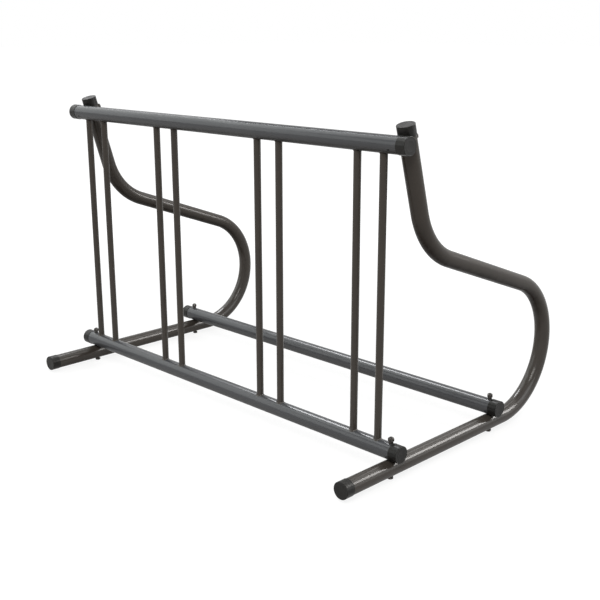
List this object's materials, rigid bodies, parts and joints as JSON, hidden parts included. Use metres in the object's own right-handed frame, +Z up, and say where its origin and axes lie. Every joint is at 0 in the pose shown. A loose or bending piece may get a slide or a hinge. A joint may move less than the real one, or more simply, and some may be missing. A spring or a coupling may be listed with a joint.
{
  "type": "grid bike rack",
  "caption": "Free-standing bike rack: a welded grid of round pipe rails and thin upright bars, bolted to end frames of bent pipe with capped ends.",
  "frame": {"origin": "on the ground, under the middle of the rack", "axes": "+X along the rails to the right as seen from the front, +Y back from the grid, +Z up"},
  "size_m": [1.524, 0.976, 0.9753],
  "materials": {
    "frame_paint": "dark warm grey paint, satin",
    "rail_paint": "blue-grey paint, satin",
    "cap_vinyl": "soft black vinyl, slight sheen",
    "hardware": "dulled plated steel"
  },
  "bodies": {
    "root": {"end_frame_left": "frame_paint", "end_frame_right": "frame_paint", "top_rail": "rail_paint", "front_rail": "rail_paint", "rear_rail": "rail_paint", "grid_bar_1": "frame_paint", "grid_bar_2": "frame_paint", "grid_bar_3": "frame_paint", "grid_bar_4": "frame_paint", "grid_bar_5": "frame_paint", "grid_bar_6": "frame_paint", "grid_bar_7": "frame_paint", "grid_bar_8": "frame_paint", "foot_cap_left": "cap_vinyl", "foot_cap_right": "cap_vinyl", "head_cap_left": "cap_vinyl", "head_cap_right": "cap_vinyl", "top_rail_cap_left": "cap_vinyl", "top_rail_cap_right": "cap_vinyl", "front_rail_cap_left": "cap_vinyl", "front_rail_cap_right": "cap_vinyl", "rear_rail_cap_left": "cap_vinyl", "rear_rail_cap_right": "cap_vinyl", "upper_welds": "frame_paint", "lower_welds": "frame_paint", "base_bolts": "hardware", "base_nuts": "hardware", "base_upper_washers": "hardware", "base_lower_washers": "hardware", "head_bolts": "hardware", "head_washers": "hardware", "rail_inserts": "hardware"}
  },
  "joints": []
}
